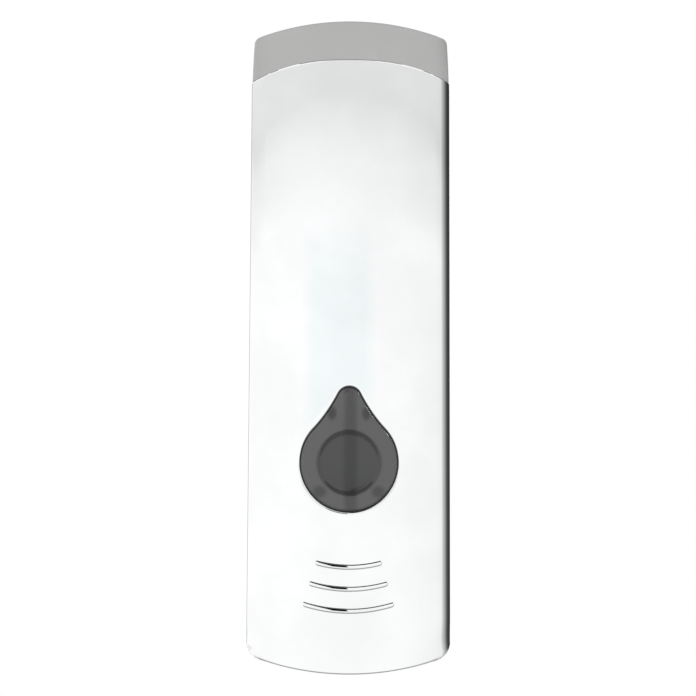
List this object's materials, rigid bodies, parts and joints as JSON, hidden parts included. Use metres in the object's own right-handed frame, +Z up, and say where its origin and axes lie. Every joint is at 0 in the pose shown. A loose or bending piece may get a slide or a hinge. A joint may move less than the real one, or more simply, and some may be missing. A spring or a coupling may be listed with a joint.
{
  "type": "soap dispenser",
  "caption": "Wall-mounted liquid soap dispenser: hinged lid over a refillable chamber, bowed bright cover, teardrop push button that works a pump, and a downward spout.",
  "frame": {"origin": "middle of the wall face, on the wall plane and halfway up the body", "axes": "+Z up, -Y out of the wall to the front with the button, +X to the right seen from the front"},
  "size_m": [0.0812, 0.0759, 0.2584],
  "materials": {
    "satin_grey_abs": "satin, fine even grain",
    "chrome_plate": "bright mirror plating on moulded plastic",
    "foam_tape": "soft closed-cell foam",
    "smoke_acrylic": "glossy, see-through dark smoke",
    "black_nylon": "dull black moulding",
    "natural_polypropylene": "milky, half see-through",
    "white_acetal": "smooth white moulding",
    "black_nitrile": "dull black rubber",
    "clear_silicone": "soft, hazy and see-through",
    "stainless_steel": "plain drawn and turned steel"
  },
  "bodies": {
    "housing": {"back_housing": "satin_grey_abs", "tape_pad_upper": "foam_tape", "tape_pad_lower": "foam_tape", "front_cover": "chrome_plate", "chamber": "natural_polypropylene", "neck_seal": "black_nitrile", "pump_body": "white_acetal", "pump_end_cap": "white_acetal", "rod_wiper": "black_nitrile", "return_spring": "stainless_steel", "inlet_seat": "white_acetal", "outlet_spring": "stainless_steel", "outlet_cap": "white_acetal", "outlet_hose": "clear_silicone", "nozzle": "white_acetal", "nozzle_nut": "white_acetal", "pump_bracket": "black_nylon", "bracket_screw_upper_left": "stainless_steel", "bracket_screw_upper_right": "stainless_steel", "bracket_screw_lower_left": "stainless_steel", "bracket_screw_lower_right": "stainless_steel", "pump_screw_left": "stainless_steel", "pump_screw_right": "stainless_steel"},
    "lid": {"lid": "satin_grey_abs", "hinge_pin_left": "stainless_steel", "hinge_pin_right": "stainless_steel"},
    "button": {"push_button": "smoke_acrylic", "button_carrier": "black_nylon", "piston": "white_acetal", "piston_seal": "clear_silicone"},
    "inlet_ball": {"inlet_ball": "stainless_steel"},
    "outlet_ball": {"outlet_ball": "stainless_steel"}
  },
  "joints": [
    {"name": "lid_hinge", "type": "hinge", "parent": "housing", "child": "lid", "pos_m": [0, -0.0165, 0.1171], "axis": [-1, 0, 0], "range_deg": [0, 85]},
    {"name": "button_push", "type": "slide", "parent": "housing", "child": "button", "axis": [0, 1, 0], "range_m": [0, 0.008], "stiffness_N_per_m": 500, "springref_m": -0.01, "deforming": ["return_spring"]},
    {"name": "inlet_ball_lift", "type": "slide", "parent": "housing", "child": "inlet_ball", "axis": [0, 0, 1], "range_m": [0, 0.0016]},
    {"name": "outlet_ball_drop", "type": "slide", "parent": "housing", "child": "outlet_ball", "axis": [0, 0, -1], "range_m": [0, 0.0015], "stiffness_N_per_m": 100, "springref_m": -0.0008, "deforming": ["outlet_spring"]}
  ]
}
